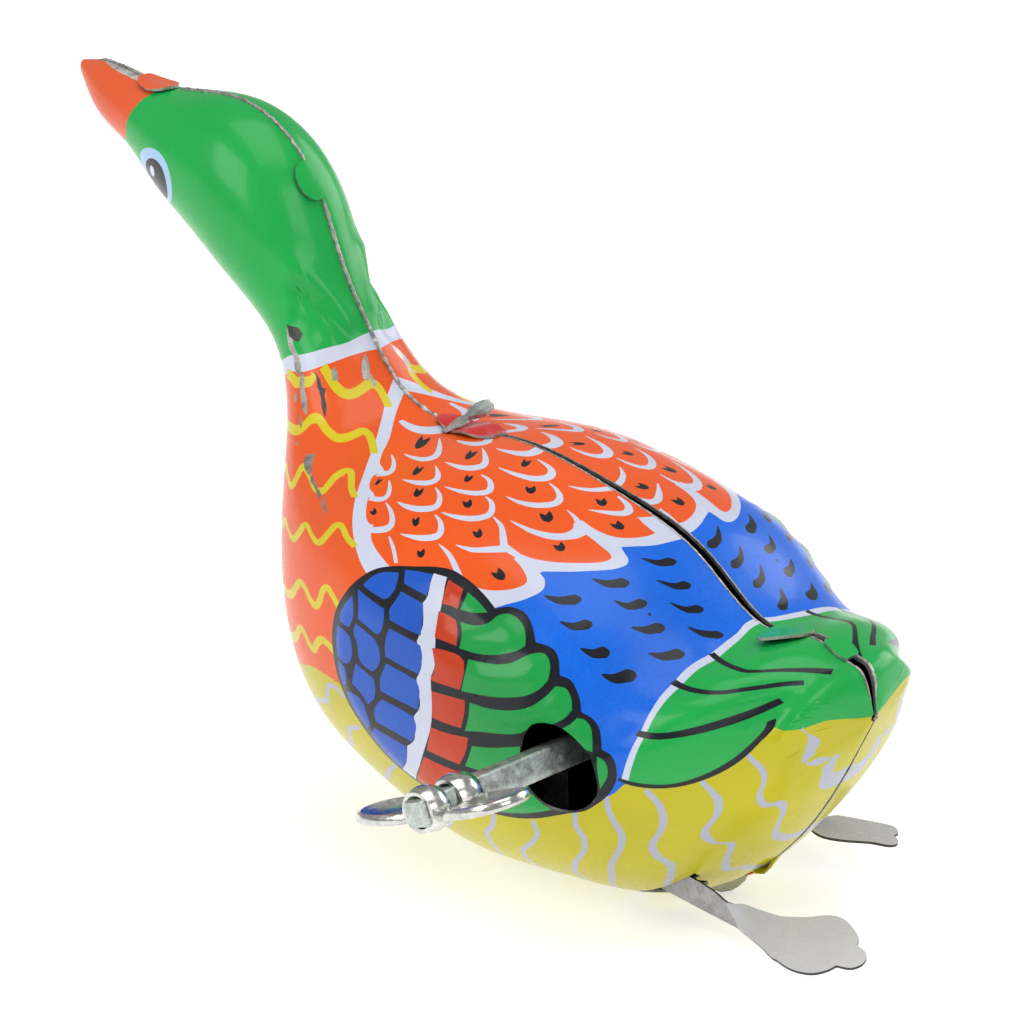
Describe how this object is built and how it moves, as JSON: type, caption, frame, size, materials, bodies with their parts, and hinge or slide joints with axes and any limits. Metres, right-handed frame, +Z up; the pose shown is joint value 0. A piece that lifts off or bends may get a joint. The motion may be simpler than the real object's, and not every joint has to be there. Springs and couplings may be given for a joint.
{
  "type": "wind-up tin toy duck",
  "caption": "Clockwork toy duck of two printed tin half shells, with a butterfly key at its side and webbed tin feet worked by cranks.",
  "frame": {"origin": "centre of the whole toy's outline, key included, on the plane that the belly rests on", "axes": "the bird looks along -Y, its left side with the key is +X, +Z is up; the seam plane lies at x = -0.00935 m"},
  "size_m": [0.0724, 0.1341, 0.0832],
  "materials": {
    "printed_tin": "glossy printed tinplate",
    "tinplate": "bare tinplate, slightly worn",
    "zinc_plated": "zinc plated, dull and scratched",
    "brass": "stamped brass",
    "spring_steel": "blued spring steel",
    "white_enamel": "white enamelled tin"
  },
  "bodies": {
    "casing": {"left_shell": "printed_tin", "right_shell": "printed_tin", "left_frame_plate": "tinplate", "right_frame_plate": "tinplate", "front_lower_pillar": "tinplate", "front_upper_pillar": "tinplate", "rear_upper_pillar": "tinplate", "rear_lower_pillar": "tinplate", "back_twist_lug": "tinplate", "front_belly_lug": "tinplate", "rear_belly_lug": "tinplate", "verge_pin": "zinc_plated", "mainspring": "spring_steel"},
    "winding_set": {"winding_key": "zinc_plated", "winding_arbor": "zinc_plated", "ratchet_wheel": "spring_steel", "arbor_collar": "brass"},
    "drive_set": {"drive_gear": "brass"},
    "click": {"click_pawl": "spring_steel"},
    "crank_set": {"crank_shaft": "zinc_plated", "crank_pinion": "brass", "crank_gear": "brass", "left_crank": "zinc_plated", "right_crank": "zinc_plated"},
    "escape_set": {"escape_shaft": "zinc_plated", "escape_pinion": "brass", "escape_wheel": "brass"},
    "verge_body": {"verge": "spring_steel"},
    "left_foot": {"left_leg": "white_enamel"},
    "right_foot": {"right_leg": "white_enamel"}
  },
  "joints": [
    {"name": "key_turn", "type": "hinge", "parent": "casing", "child": "winding_set", "pos_m": [-0.00935, 0.031, 0.0229], "axis": [1, 0, 0], "continuous": true},
    {"name": "drive_spin", "type": "hinge", "parent": "casing", "child": "drive_set", "pos_m": [-0.00935, 0.031, 0.0229], "axis": [1, 0, 0], "continuous": true},
    {"name": "click_lift", "type": "hinge", "parent": "drive_set", "child": "click", "pos_m": [-0.00935, 0.03629, 0.02734], "axis": [1, 0, 0], "range_deg": [-15, 0], "stiffness_Nm_per_rad": 0.00002, "springref_deg": 17.19},
    {"name": "crank_spin", "type": "hinge", "parent": "casing", "child": "crank_set", "pos_m": [-0.00935, 0.03205, 0.01095], "axis": [1, 0, 0], "continuous": true},
    {"name": "escape_spin", "type": "hinge", "parent": "casing", "child": "escape_set", "pos_m": [-0.00935, 0.03942, 0.01611], "axis": [1, 0, 0], "continuous": true},
    {"name": "verge_rock", "type": "hinge", "parent": "casing", "child": "verge_body", "pos_m": [-0.00935, 0.04328, 0.02183], "axis": [1, 0, 0], "range_deg": [-8, 8]},
    {"name": "left_leg_stroke", "type": "slide", "parent": "casing", "child": "left_foot", "axis": [0, 1, 0], "range_m": [-0.0124, 0]},
    {"name": "right_leg_stroke", "type": "slide", "parent": "casing", "child": "right_foot", "axis": [0, 1, 0], "range_m": [0, 0.0124]}
  ],
  "couplings": [
    {"joint": "drive_spin", "follows": "escape_spin", "ratio": 0.16667},
    {"joint": "crank_spin", "follows": "escape_spin", "ratio": -0.5},
    {"joint": "right_leg_stroke", "follows": "left_leg_stroke", "ratio": -1}
  ]
}
